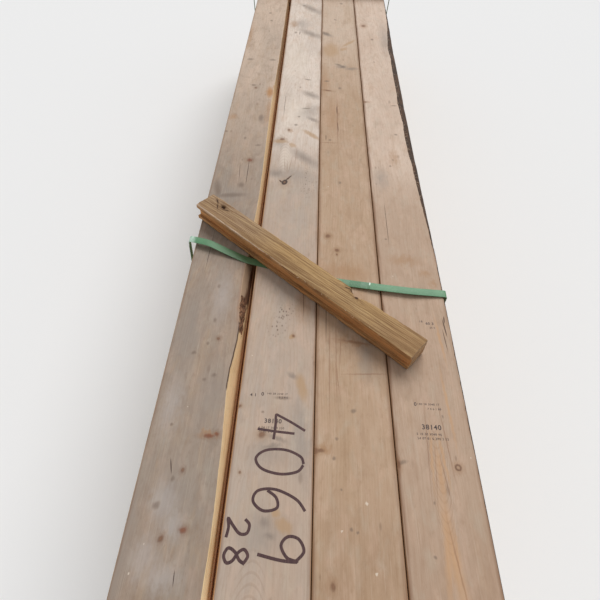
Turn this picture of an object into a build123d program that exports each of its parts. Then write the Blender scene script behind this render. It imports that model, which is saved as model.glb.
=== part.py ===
"""Half pack of pine studs, strapped at two places, with one batten seated and one popped loose.

Frame: the studs run along +Y, the near end is at -Y, +Z is up, and the pack stands on its straps at z = 0.
All sizes are in millimetres.
"""

from build123d import *
import os
from math import cos, hypot, radians, sin, tan

os.makedirs("parts", exist_ok=True)

# Studs: dressed 2 by 6 pine, ten feet long, four wide and sixteen high
stud_width = 139.5
stud_thickness = 38.0
stud_length = 3048.0
arris_radius = 3.0
studs_wide = 4
courses = 16

# How the pack was laid up
course_gap = 0.3
top_gaps = (11.0, 1.2, 1.5)
end_stagger = 6.0
side_stagger = 1.2

# Wane: the round of the log left on two arrises of the top course
log_radius = 130.0
wane_inner = (9.5, 8.5)
wane_outer = (6.5, 12.0)

# Polyester strap, welded to itself
strap_width = 19.0
strap_thickness = 1.0
strap_clearance = 0.3
strap_from_end = 662.0
strap_bend = 4.0
bend_steps = 4
weld_length = 64.0
weld_inset = 0.4
weld_bite = 0.2

# Grooved battens of sawn softwood
batten_length = 630.0
batten_depth = 57.0
batten_face = 45.0
groove_width = 23.0
groove_depth = 8.0
batten_arris = 2.0
groove_end_ease = 3.0

# Where the loose batten lies, and how the slack strap runs under it
loose_x = -37.5
loose_from_strap = -39.0
loose_heading = -40.9
crossing_shift = -34.0
crossing_heading = -15.3
crossing_margin = 14.5
lift_heading = -10.0
lift_start = 26.0
lift_end = 20.0
lift_height = 7.0
slack_bow = 17.0
slack_hump = 13.0
left_pull = 64.0
right_pull = 69.0
edge_bend = 6.0
top_ease = 12.0
side_ease = 60.0

# Worked out from the sizes above
pack_width = studs_wide * stud_width + sum(top_gaps)
half_pack = pack_width / 2
underside = strap_thickness + strap_clearance
course_pitch = stud_thickness + course_gap
top = underside + courses * course_pitch - course_gap
strap_lift = strap_clearance + strap_thickness / 2
strap_side = half_pack + strap_lift
strap_low = strap_thickness / 2
near_station = -(stud_length / 2 - strap_from_end)
far_station = stud_length / 2 - strap_from_end
loose_centre = (loose_x, near_station + loose_from_strap)
lower_gap = (pack_width - 2 * side_stagger - studs_wide * stud_width) / (studs_wide - 1)


def heading(degrees):
    """Level direction, turned this far from +X towards +Y."""
    return Vector(cos(radians(degrees)), sin(radians(degrees)), 0)


def end_shift(course, place):
    """How far a stud stands towards +Y: a repeating pattern of seven steps that reaches both limits."""
    return end_stagger * (((3 * course + 5 * place) % 7) / 3 - 1)


def side_shift(course, place):
    """How far a stud lies towards +X: a repeating pattern of five steps that reaches both limits."""
    return side_stagger * (((2 * course + 3 * place) % 5) / 2 - 1)


def course_height(course):
    """Height of the middle of a course, counted from 0 at the bottom."""
    return underside + course * course_pitch + stud_thickness / 2


def log_centre(wane):
    """Centre of the log's round, seen from the middle of a stud, that leaves this wane on its +X arris."""
    across, down = wane
    chord = hypot(across, down)
    corner_x = stud_width / 2 - across / 2
    corner_y = stud_thickness / 2 - down / 2
    return corner_x - log_radius * down / chord, corner_y - log_radius * across / chord


def stud_plane(x, course, y):
    """Section plane at the middle of a stud, with the section's up along +Z."""
    return Plane(origin=(x, y, course_height(course)), x_dir=(1, 0, 0), z_dir=(0, -1, 0))


# Lower courses: four like studs to a course, laid with small gaps and uneven ends
for course in range(courses - 1):
    with BuildPart() as layer:
        for place in range(studs_wide):
            left = -half_pack + side_stagger + place * (stud_width + lower_gap)
            x = left + stud_width / 2 + side_shift(course, place)
            with BuildSketch(stud_plane(x, course, end_shift(course, place))):
                RectangleRounded(stud_width, stud_thickness, arris_radius)
            extrude(amount=stud_length / 2, both=True)
    layer.part.label = f"studs_course_{course + 1:02d}"
    export_step(layer.part, f"parts/{layer.part.label}.step")

# Top course: four studs of their own, the first with wane at the open joint, the last at the pack's edge
wanes = (wane_inner, None, None, wane_outer)
top_course = courses - 1
for place in range(studs_wide):
    left = -half_pack + place * stud_width + sum(top_gaps[:place])
    with BuildPart() as top_stud:
        with BuildSketch(stud_plane(left + stud_width / 2, top_course, end_shift(top_course, place))):
            RectangleRounded(stud_width, stud_thickness, arris_radius)
            if wanes[place]:
                with Locations(log_centre(wanes[place])):
                    Circle(log_radius, mode=Mode.INTERSECT)
        extrude(amount=stud_length / 2, both=True)
    top_stud.part.label = f"stud_top_{place + 1}"
    export_step(top_stud.part, f"parts/{top_stud.part.label}.step")


def batten_section():
    """Section of a batten in the current sketch, with the strap groove in the face towards -X."""
    RectangleRounded(batten_depth, batten_face, batten_arris)
    with Locations((-(batten_depth - groove_depth) / 2, 0)):
        Rectangle(groove_depth, groove_width, mode=Mode.SUBTRACT)


def groove_end_edges(part, plane):
    """The two edges where the groove's floor meets the batten's sawn ends."""
    floor = groove_depth - batten_depth / 2
    chosen = []
    for edge in part.edges():
        out = (edge.center() - plane.origin).dot(plane.x_dir)
        if abs(out - floor) < 0.01 and abs(edge.length - groove_width) < 0.01:
            chosen.append(edge)
    return chosen


# Seated batten: across the pack over the far strap's place, groove up
seated_underside = top + strap_clearance
seated_plane = Plane(
    origin=(0, far_station, seated_underside + batten_depth / 2), x_dir=(0, 0, -1), z_dir=(1, 0, 0)
)
with BuildPart() as batten_seated:
    with BuildSketch(seated_plane):
        batten_section()
    extrude(amount=batten_length / 2, both=True)
    fillet(groove_end_edges(batten_seated, seated_plane), groove_end_ease)
batten_seated.part.label = "batten_seated"
export_step(batten_seated.part, "parts/batten_seated.step")

# Loose batten: tipped on its side and turned across the pack, groove towards the near end, lying on the strap
loose_underside = top + strap_thickness + 2 * strap_clearance
loose_along = heading(loose_heading)
loose_plane = Plane(
    origin=(*loose_centre, loose_underside + batten_face / 2),
    x_dir=(-loose_along.Y, loose_along.X, 0),
    z_dir=loose_along,
)
with BuildPart() as batten_loose:
    with BuildSketch(loose_plane):
        batten_section()
    extrude(amount=batten_length / 2, both=True)
    fillet(groove_end_edges(batten_loose, loose_plane), groove_end_ease)
batten_loose.part.label = "batten_loose"
export_step(batten_loose.part, "parts/batten_loose.step")


def rounded_route(corners):
    """Points and directions along a closed strap: each corner is (x, y, z, setback)."""
    route = []
    count = len(corners)
    for i, (x, y, z, setback) in enumerate(corners):
        corner = Vector(x, y, z)
        before = Vector(*corners[i - 1][:3])
        after = Vector(*corners[(i + 1) % count][:3])
        start = corner - (corner - before).normalized() * setback
        end = corner + (after - corner).normalized() * setback
        for step in range(bend_steps + 1):
            t = step / bend_steps
            point = start * (1 - t) ** 2 + corner * (2 * t * (1 - t)) + end * t**2
            along = (corner - start) * (1 - t) + (end - corner) * t
            route.append((point, along.normalized()))
    return route


def strap_plane(point, along, out=0.0):
    """Section plane of the strap, its width as near to Y as the route allows and its outside towards local y."""
    width = (Vector(0, 1, 0) - along * along.Y).normalized()
    return Plane(origin=point + along.cross(width) * out, x_dir=width, z_dir=along)


def strap_section(plane, width):
    """One cross-section of the strap."""
    with BuildSketch(plane) as section:
        Rectangle(width, strap_thickness)
    return section.sketch.face()


def strap_loop(route):
    """The closed strap in the current part, as two bands that meet face to face."""
    middle = len(route) // 2
    for band in (route[: middle + 1], route[middle:] + route[:1]):
        loft([strap_section(strap_plane(point, along), strap_width) for point, along in band], ruled=True)


def strap_weld(start, along):
    """The strap's upper end, welded over the lower one on a straight run."""
    raised = strap_thickness - weld_bite
    ends = [strap_plane(point, along, raised) for point in (start, start + along * weld_length)]
    loft([strap_section(plane, strap_width - weld_inset) for plane in ends], ruled=True)


# Far strap: tight round the pack, over the ends of the seated batten and along its groove
groove_floor = seated_underside + batten_depth - groove_depth
far_top = groove_floor + strap_lift
far_reach = batten_length / 2 + strap_lift
far_shoulder = max(far_reach, strap_side)
far_corners = [
    (-strap_side, far_station, strap_low, strap_bend),
    (-far_shoulder, far_station, seated_underside, strap_bend),
    (-far_reach, far_station, far_top, strap_bend),
    (far_reach, far_station, far_top, strap_bend),
    (far_shoulder, far_station, seated_underside, strap_bend),
    (strap_side, far_station, strap_low, strap_bend),
]
weld_height = 0.55 * top
side_low = Vector(*far_corners[0][:3])
side_up = (Vector(*far_corners[1][:3]) - side_low).normalized()
with BuildPart() as strap_far:
    strap_loop(rounded_route(far_corners))
    strap_weld(side_low + side_up * weld_height, side_up)
strap_far.part.label = "strap_far"
export_step(strap_far.part, "parts/strap_far.step")

# Near strap: slack since its batten popped out. Under the loose batten it lies flat on the studs, as far
# each way as the batten covers it at the angle between the two.
flat_on_top = top + strap_lift
turn = radians(crossing_heading - loose_heading)
covered = batten_depth / 2 / sin(turn) + strap_width / 2 / tan(turn) + crossing_margin
crossing = Vector(*loose_centre, flat_on_top) + loose_along * crossing_shift
flat_left = crossing - heading(crossing_heading) * covered
flat_right = crossing + heading(crossing_heading) * covered

# From there to the right it lifts a little, with its weld on the straight stretch
lift_run = lift_start + weld_length + lift_end
lifted = flat_right + heading(lift_heading) * lift_run + Vector(0, 0, lift_height)
lift_along = (lifted - flat_right).normalized()

# Over the pack's edges and down its sides it is bowed out and pulled askew. It humps up over the first stud.
slack_reach = half_pack + slack_bow
near_corners = [
    (-strap_side, near_station, strap_low, strap_bend),
    (-half_pack - 0.6 * slack_bow, near_station + 0.22 * left_pull, 0.33 * top, side_ease),
    (-slack_reach, near_station + 0.7 * left_pull, 0.74 * top, side_ease),
    (-half_pack - 0.9 * slack_bow, near_station + left_pull, top + 0.73 * slack_hump, edge_bend),
    (-0.88 * half_pack, near_station + 0.77 * left_pull, top + slack_hump, top_ease),
    (-0.72 * half_pack, near_station + 0.45 * left_pull, top + 0.5 * slack_hump, top_ease),
    (*flat_left, top_ease),
    (*flat_right, top_ease),
    (*lifted, top_ease),
    (0.74 * half_pack, near_station - 1.01 * right_pull, top + 0.62 * slack_hump, top_ease),
    (half_pack + 0.26 * slack_bow, near_station - right_pull, top + 0.19 * slack_hump, edge_bend),
    (slack_reach, near_station - 0.55 * right_pull, 0.62 * top, side_ease),
    (half_pack + 0.55 * slack_bow, near_station - 0.2 * right_pull, 0.25 * top, side_ease),
    (strap_side, near_station, strap_low, strap_bend),
]
with BuildPart() as strap_near:
    strap_loop(rounded_route(near_corners))
    strap_weld(flat_right + lift_along * lift_start, lift_along)
strap_near.part.label = "strap_near"
export_step(strap_near.part, "parts/strap_near.step")
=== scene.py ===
"""The looks of a strapped half pack of pine studs: weathered planed faces with knots and stain, sawn ends,
wane with bark, green plastic straps and rough grooved battens. Lengths are metres, and shaders work in mm."""

from math import atan2, cos, exp, hypot, pi, radians, sin

import bpy
import numpy as np
from mathutils import Matrix, Quaternion, Vector, noise


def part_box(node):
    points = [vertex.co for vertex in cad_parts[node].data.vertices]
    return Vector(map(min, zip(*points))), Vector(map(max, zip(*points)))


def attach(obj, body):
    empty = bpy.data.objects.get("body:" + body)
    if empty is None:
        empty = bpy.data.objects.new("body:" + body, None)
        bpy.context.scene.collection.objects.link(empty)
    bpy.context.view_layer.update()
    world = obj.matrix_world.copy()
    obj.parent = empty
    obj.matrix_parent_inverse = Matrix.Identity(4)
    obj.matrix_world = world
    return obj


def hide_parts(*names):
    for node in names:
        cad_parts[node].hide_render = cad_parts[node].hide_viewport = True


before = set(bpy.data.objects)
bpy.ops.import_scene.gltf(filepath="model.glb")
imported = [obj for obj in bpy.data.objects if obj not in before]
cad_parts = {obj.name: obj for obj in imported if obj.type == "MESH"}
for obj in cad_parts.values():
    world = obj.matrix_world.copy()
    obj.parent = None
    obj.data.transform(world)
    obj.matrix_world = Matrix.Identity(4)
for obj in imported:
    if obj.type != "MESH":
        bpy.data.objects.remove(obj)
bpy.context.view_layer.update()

MM = 0.001


# Lower courses
# Fifteen courses of four planed pine studs, laid flat and kept by the straps alone. Outside they are tan with
# darker growth rings, knots cut through on their edges, and ring-marked sawn ends. The solids stay as they are.
class Socket:
    """A shader output that takes part in arithmetic: each operator on a value adds one Math node."""

    def __init__(self, graph, link):
        self.graph = graph
        self.link = link

    def __add__(self, other):
        return self.graph.maths("ADD", self, other)

    def __sub__(self, other):
        return self.graph.maths("SUBTRACT", self, other)

    def __rsub__(self, other):
        return self.graph.maths("SUBTRACT", other, self)

    def __mul__(self, other):
        return self.graph.maths("MULTIPLY", self, other)

    def __truediv__(self, other):
        return self.graph.maths("DIVIDE", self, other)

    def __abs__(self):
        return self.graph.maths("ABSOLUTE", self)

    __radd__ = __add__
    __rmul__ = __mul__


class Graph:
    """A node tree whose nodes all come from one method."""

    def __init__(self, tree):
        self.tree = tree

    def node(self, kind, settings=None, values=None, out=0):
        """Adds a node: its settings first, then the values or links of its sockets. Returns one output."""
        made = self.tree.nodes.new(kind)
        for name, value in (settings or {}).items():
            setattr(made, name, value)
        for name, value in (values or {}).items():
            if isinstance(value, Socket):
                self.tree.links.new(value.link, made.inputs[name])
            else:
                made.inputs[name].default_value = value
        return Socket(self, made.outputs[out]) if len(made.outputs) else None

    def maths(self, operation, *terms):
        return self.node("ShaderNodeMath", {"operation": operation}, dict(enumerate(terms)))

    def vector(self, operation, *terms, out=0):
        return self.node("ShaderNodeVectorMath", {"operation": operation}, dict(enumerate(terms)), out)

    def join(self, x=0.0, y=0.0, z=0.0):
        return self.node("ShaderNodeCombineXYZ", {}, {0: x, 1: y, 2: z})

    def split(self, vector):
        return [self.node("ShaderNodeSeparateXYZ", {}, {0: vector}, i) for i in range(3)]

    def noise(self, place, size, detail=2.0, rough=0.5, colour=False, warp=0.0):
        """Noise from 0 to 1 whose grains measure size = (x, y, z)."""
        scaled = self.vector("DIVIDE", place, size)
        values = {"Vector": scaled, "Scale": 1.0, "Detail": detail, "Roughness": rough, "Distortion": warp}
        return self.node("ShaderNodeTexNoise", {}, values, "Color" if colour else "Fac")

    def rise(self, value, low, high):
        """0 below low, 1 above high, and a smooth step between them. low may be above high."""
        values = {"Value": value, "From Min": low, "From Max": high}
        return self.node("ShaderNodeMapRange", {"interpolation_type": "SMOOTHSTEP"}, values)

    def least(self, values):
        """The smallest of several values."""
        found = values[0]
        for value in values[1:]:
            found = self.maths("MINIMUM", found, value)
        return found


class Finish(Graph):
    """A material whose colour, roughness and relief are written as expressions on sockets."""

    def __init__(self, name, specular=0.3):
        self.material = bpy.data.materials.new(name)
        self.material.use_nodes = True
        super().__init__(self.material.node_tree)
        self.shader = self.tree.nodes["Principled BSDF"]
        self.shader.inputs["Specular IOR Level"].default_value = specular

    def point(self):
        """Where a surface point lies, in mm."""
        return self.vector("MULTIPLY", self.node("ShaderNodeTexCoord", out="Object"), (1000, 1000, 1000))

    def facing(self):
        """The surface's outward direction, as three values."""
        return self.split(self.node("ShaderNodeNewGeometry", out="Normal"))

    def stored(self, name):
        """A value that the mesh carries at each point."""
        return self.node("ShaderNodeAttribute", {"attribute_name": name}, out="Fac")

    def mix(self, factor, first, second):
        """Two colours mixed by a factor: each is a socket, or its red, green and blue from 0 to 255."""
        first, second = (colour if isinstance(colour, Socket) else srgb(*colour) for colour in (first, second))
        return self.node("ShaderNodeMix", {"data_type": "RGBA"}, {0: factor, 6: first, 7: second}, 2)

    def layered(self, colour, layers):
        """A colour under layers: each (mask, shade), or (value, where it begins, where full, strength, shade)."""
        for *cover, shade in layers:
            mask = cover[0] if len(cover) == 1 else self.rise(*cover[:3]) * cover[3]
            colour = self.mix(mask, colour, shade)
        return colour

    def finish(self, colour, roughness, relief, depth_mm, strength=1.0):
        """Links the colour, the roughness and a bump of that depth to the shader."""
        values = {"Height": relief, "Distance": depth_mm * MM, "Strength": strength}
        normal = self.node("ShaderNodeBump", {}, values)
        for name, value in {"Base Color": colour, "Roughness": roughness, "Normal": normal}.items():
            self.tree.links.new(value.link, self.shader.inputs[name])
        return self.material


def srgb(red, green, blue):
    """A colour of 0 to 255 as the shader's linear colour."""
    return (*((((c / 255 + 0.055) / 1.055) ** 2.4 if c > 10 else c / 255 / 12.92) for c in (red, green, blue)), 1.0)


ring_spacing = 3.3


def growth(finish, across, along, height, pith_x, pith_z, seed, pull=0.0):
    """Growth rings round a pith line that wanders along the stud: (darkness of the ring, rings counted)."""
    wander = finish.noise(finish.join(seed, along, 0.0), (1, 750, 1), 1.0, colour=True)
    wander = finish.vector("MULTIPLY", finish.vector("SUBTRACT", wander, (0.5, 0.5, 0.5)), (70, 0, 70))
    arm = finish.vector("ADD", finish.join(across - pith_x, 0.0, height - pith_z), wander)
    radius = finish.vector("LENGTH", arm, out="Value")
    wave = finish.noise(finish.join(across, along + seed * 900.0, height), (26, 260, 26), 3.0, 0.55)
    rings = (radius + along * 0.006 + wave * 9.0 + pull) / ring_spacing
    part = finish.maths("FRACT", rings)
    late = finish.rise(part, 0.35, 0.9) * finish.rise(part, 1.0, 0.93)
    year = finish.node("ShaderNodeTexWhiteNoise", {"noise_dimensions": "1D"}, {"W": finish.maths("FLOOR", rings)})
    return late * (0.45 + year * 0.55), rings


def sawn_end(finish, colour, growth_of, across, along, height, across_grain, luck):
    """Colours the sawn ends: open rings, fine saw lines and short radial checks, greyed by weather."""
    ring, rings = growth_of
    end = finish.join(across + luck * 900.0, along, height + luck * 500.0)
    spell = finish.noise(finish.join(rings, luck * 70.0, 0.0), (3.6, 1, 1), 2.0, 0.6)
    saw = finish.noise(end, (60, 60, 0.9), 2.0)
    check = finish.noise(end, (1.6, 900, 14), 3.0, 0.6, warp=0.6)
    grey = finish.noise(end, (55, 900, 30), 2.0)
    face = finish.layered(finish.mix(luck, (224, 192, 148), (188, 150, 108)), [
        (rings, 27.0, 19.0, 0.5, (184, 128, 84)),
        (spell, 0.42, 0.66, 0.55, (160, 112, 70)),
        (ring * 0.8, (128, 82, 48)),
        (grey, 0.45, 0.7, 0.5, (146, 134, 122)),
        (saw, 0.5, 0.68, 0.22, (112, 86, 62)),
        (check, 0.66, 0.70, 0.8, (58, 40, 28))])
    return finish.mix(across_grain, colour, face)


stud_count = 4
course_names = sorted(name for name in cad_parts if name.startswith("studs_course"))
first_low, first_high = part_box(course_names[0])
course_pitch = (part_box(course_names[1])[0].z - first_low.z) / MM
lowest_face = first_low.z / MM
pack_half = first_high.x / MM
board_pitch = 2 * pack_half / stud_count

lower = Finish("pine_lower_courses")
spot = lower.point()
x, y, z = lower.split(spot)
level = (z - lowest_face) / course_pitch
level_number = lower.maths("FLOOR", level)
place = (x + pack_half) / board_pitch
place_number = lower.maths("FLOOR", place)
local_z = (level - level_number - 0.5) * course_pitch
local_x = (place - place_number - 0.5) * board_pitch
who = lower.node("ShaderNodeTexWhiteNoise", {"noise_dimensions": "2D"},
                 {"Vector": lower.join(place_number, level_number)}, "Color")
luck_a, luck_b, luck_c = lower.split(who)
normal_x, normal_y, normal_z = lower.facing()
across_grain = lower.rise(abs(normal_y), 0.55, 0.8)
own = lower.join(luck_a * 700.0 + local_x, y + luck_b * 4000.0, local_z)
cell = lower.node("ShaderNodeTexVoronoi", {"feature": "F1"},
                  {"Vector": lower.vector("DIVIDE", own, (110, 330, 62)), "Scale": 1.0, "Randomness": 1.0}, "Distance")
knot = cell * 9.0 + lower.noise(own, (9, 14, 9), 2.0) * 0.8
near_knot = lower.maths("POWER", 2.718, knot * -0.8)
ring, rings = growth(lower, local_x, y, local_z, (luck_a - 0.5) * 150.0, (luck_b - 0.5) * 220.0, luck_c * 40.0,
                     near_knot * 9.0)
fibre = lower.noise(own, (1.3, 90, 1.3), 3.0, 0.6)
stain = lower.noise(own, (60, 420, 60), 3.0, 0.55)
wood = lower.layered(lower.mix(luck_c, (208, 174, 126), (182, 154, 120)), [
    (luck_b, 0.55, 0.75, 0.8, (206, 164, 128)),
    (luck_a, 0.7, 0.85, 0.75, (162, 146, 126)),
    (luck_a, 0.25, 0.1, 0.7, (222, 198, 162)),
    (ring * 0.55, (150, 104, 62)),
    (stain, 0.45, 0.75, 0.6, (150, 134, 116)),
    (fibre, 0.52, 0.8, 0.35, (128, 96, 66)),
    (knot, 1.5, 1.0, 0.85, (104, 62, 36)),
    (knot, 0.9, 0.3, 0.5, (140, 92, 56))])
wood = sawn_end(lower, wood, (ring, rings), local_x, y, local_z, across_grain, luck_b)
# Faces inside the pack, the tops and the sides between studs, are lighter: partly fresh unweathered wood, partly
# painted light that lifts the shade seen down the open joints.
inner_side = lower.rise(abs(normal_x), 0.6, 0.9) * lower.rise(abs(x), pack_half - 8.0, pack_half - 14.0)
fresh_and_lit_inner_faces = lower.rise(normal_z, 0.6, 0.9) + inner_side
# Each stud is darker near its upper and lower edges, except on its sawn ends.
course_edge_darkening = lower.rise(abs(local_z), course_pitch / 2 - 4.5, course_pitch / 2 - 0.5)
wood = lower.layered(wood, [
    (fresh_and_lit_inner_faces * 0.85, (246, 186, 136)),
    (course_edge_darkening * 0.35 * (1 - across_grain), (96, 66, 44))])
relief = ring * 0.35 + fibre * 0.5 - lower.rise(knot, 1.4, 1.0) * 0.3
lower_pine = lower.finish(wood, 0.72 + fibre * 0.2, relief, 0.5, 0.6)

for name in course_names:
    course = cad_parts[name]
    course.data.materials.clear()
    course.data.materials.append(lower_pine)


# Top course
# Four studs of their own. The planed faces have greyed unevenly, with knots, blue stain and pitch. The first stud
# keeps the round of the log along its open joint, with a strip of bark, and the last one along the pack's edge.
def outline(width, thickness, arris):
    """Points round a stud's section, from the middle of the underside, closer together at the arrises."""
    half_w = width / 2
    half_t = thickness / 2
    flat = half_w - arris
    steps = [0.0, 0.16, 0.32, 0.46, 0.58, 0.68, 0.75, 0.80, 0.84, 0.88, 0.91, 0.94, 0.97, 1.0]
    right = [(flat * s, -half_t) for s in steps]
    for step in range(1, 5):
        angle = pi / 2 * step / 4
        right.append((flat + arris * sin(angle), -half_t + arris * (1 - cos(angle))))
    rise = half_t - arris
    right += [(half_w, rise * s) for s in (-0.6, -0.2, 0.1, 0.35, 0.55, 0.72, 0.86, 1.0)]
    for step in range(1, 5):
        angle = pi / 2 * step / 4
        right.append((flat + arris * cos(angle), rise + arris * sin(angle)))
    right += [(flat * s, half_t) for s in reversed(steps[:-1])]
    left = [(-u, w) for u, w in reversed(right[1:-1])]
    return right + left


def rounded_off(points, width, thickness, log_radius, across, down):
    """The section cut back to the round of the log, which takes across and down off its upper right arris."""
    chord = hypot(across, down)
    inward = (-down / chord, -across / chord)
    depth = (log_radius ** 2 - (chord / 2) ** 2) ** 0.5
    middle = (width / 2 - across / 2, thickness / 2 - down / 2)
    centre = (middle[0] + inward[0] * depth, middle[1] + inward[1] * depth)
    cut = []
    for u, w in points:
        away = hypot(u - centre[0], w - centre[1])
        if away > log_radius and u > 0 and w > -thickness / 4:
            u = centre[0] + (u - centre[0]) * log_radius / away
            w = centre[1] + (w - centre[1]) * log_radius / away
        cut.append((u, w))
    return cut


def tube_mesh(name, sections):
    """A closed mesh through like sections, with a flat cap at each end and sharp rims."""
    count = len(sections[0])
    vertices = [tuple(p) for section in sections for p in section]
    faces = []
    for s in range(len(sections) - 1):
        for i in range(count):
            j = (i + 1) % count
            a, b = s * count, (s + 1) * count
            faces.append((a + i, a + j, b + j, b + i))
    faces.append(tuple(reversed(range(count))))
    last = (len(sections) - 1) * count
    faces.append(tuple(range(last, last + count)))
    mesh = bpy.data.meshes.new(name)
    mesh.from_pydata(vertices, [], faces)
    mesh.shade_smooth()
    rim = set(range(count)) | set(range(last, last + count))
    for edge in mesh.edges:
        if edge.vertices[0] in rim and edge.vertices[1] in rim:
            edge.use_edge_sharp = True
    return mesh


def piece(name, mesh, material):
    """A finished piece that rides on the pack."""
    made = bpy.data.objects.new(name, mesh)
    bpy.context.collection.objects.link(made)
    if not mesh.materials:
        mesh.materials.append(material)
    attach(made, "root")
    return made


def marks(finish, spot, listed):
    """Distance to the nearest of several oval marks, 1 at its rim: each (across, along, half width, half length),
    and the degrees that it is turned, if it is."""
    found = []
    for across, along, half_width, half_length, *turn in listed:
        values = {"Vector": spot, "Location": (across, along, 0), "Rotation": (0, 0, radians(sum(turn))),
                  "Scale": (half_width, half_length, 1e5)}
        local = finish.node("ShaderNodeMapping", {"vector_type": "TEXTURE"}, values)
        found.append(finish.vector("LENGTH", local, out="Value"))
    return finish.least(found)


# How each kind of mark shows: its colour, its strength, and where it begins and is full, in parts of its size
mark_kinds = {
    "cloud": ((146, 136, 128), 0.5, 1.5, 0.0),
    "tan": ((166, 126, 90), 0.52, 1.45, 0.1),
    "flame": ((198, 154, 112), 0.62, 1.5, 0.0),
    "amber": ((184, 128, 70), 0.85, 1.4, 0.2),
    "ring": ((104, 74, 56), 0.75, 1.45, 0.9),
    "specks": ((92, 70, 60), 0.7, 1.5, 0.3),
    "frost": ((190, 184, 182), 0.34, 1.6, 0.0),
    "grey": ((116, 99, 86), 0.62, 1.5, 0.25),
    "brown": ((108, 74, 54), 0.74, 1.5, 0.3),
    "red": ((124, 78, 58), 0.84, 1.4, 0.4),
    "smear": ((138, 124, 114), 0.72, 1.6, 0.0),
    "band": ((178, 144, 108), 0.7, 1.3, 0.4),
    "pale": ((226, 212, 196), 0.36, 1.4, 0.3),
    "thread": ((132, 90, 64), 0.44, 1.6, 0.2),
    "check": ((60, 40, 32), 0.8, 1.35, 0.6),
    "bark": ((48, 36, 33), 0.92, 1.16, 0.8),
    "pitch": ((226, 212, 194), 0.7, 1.2, 0.5),
}


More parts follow.
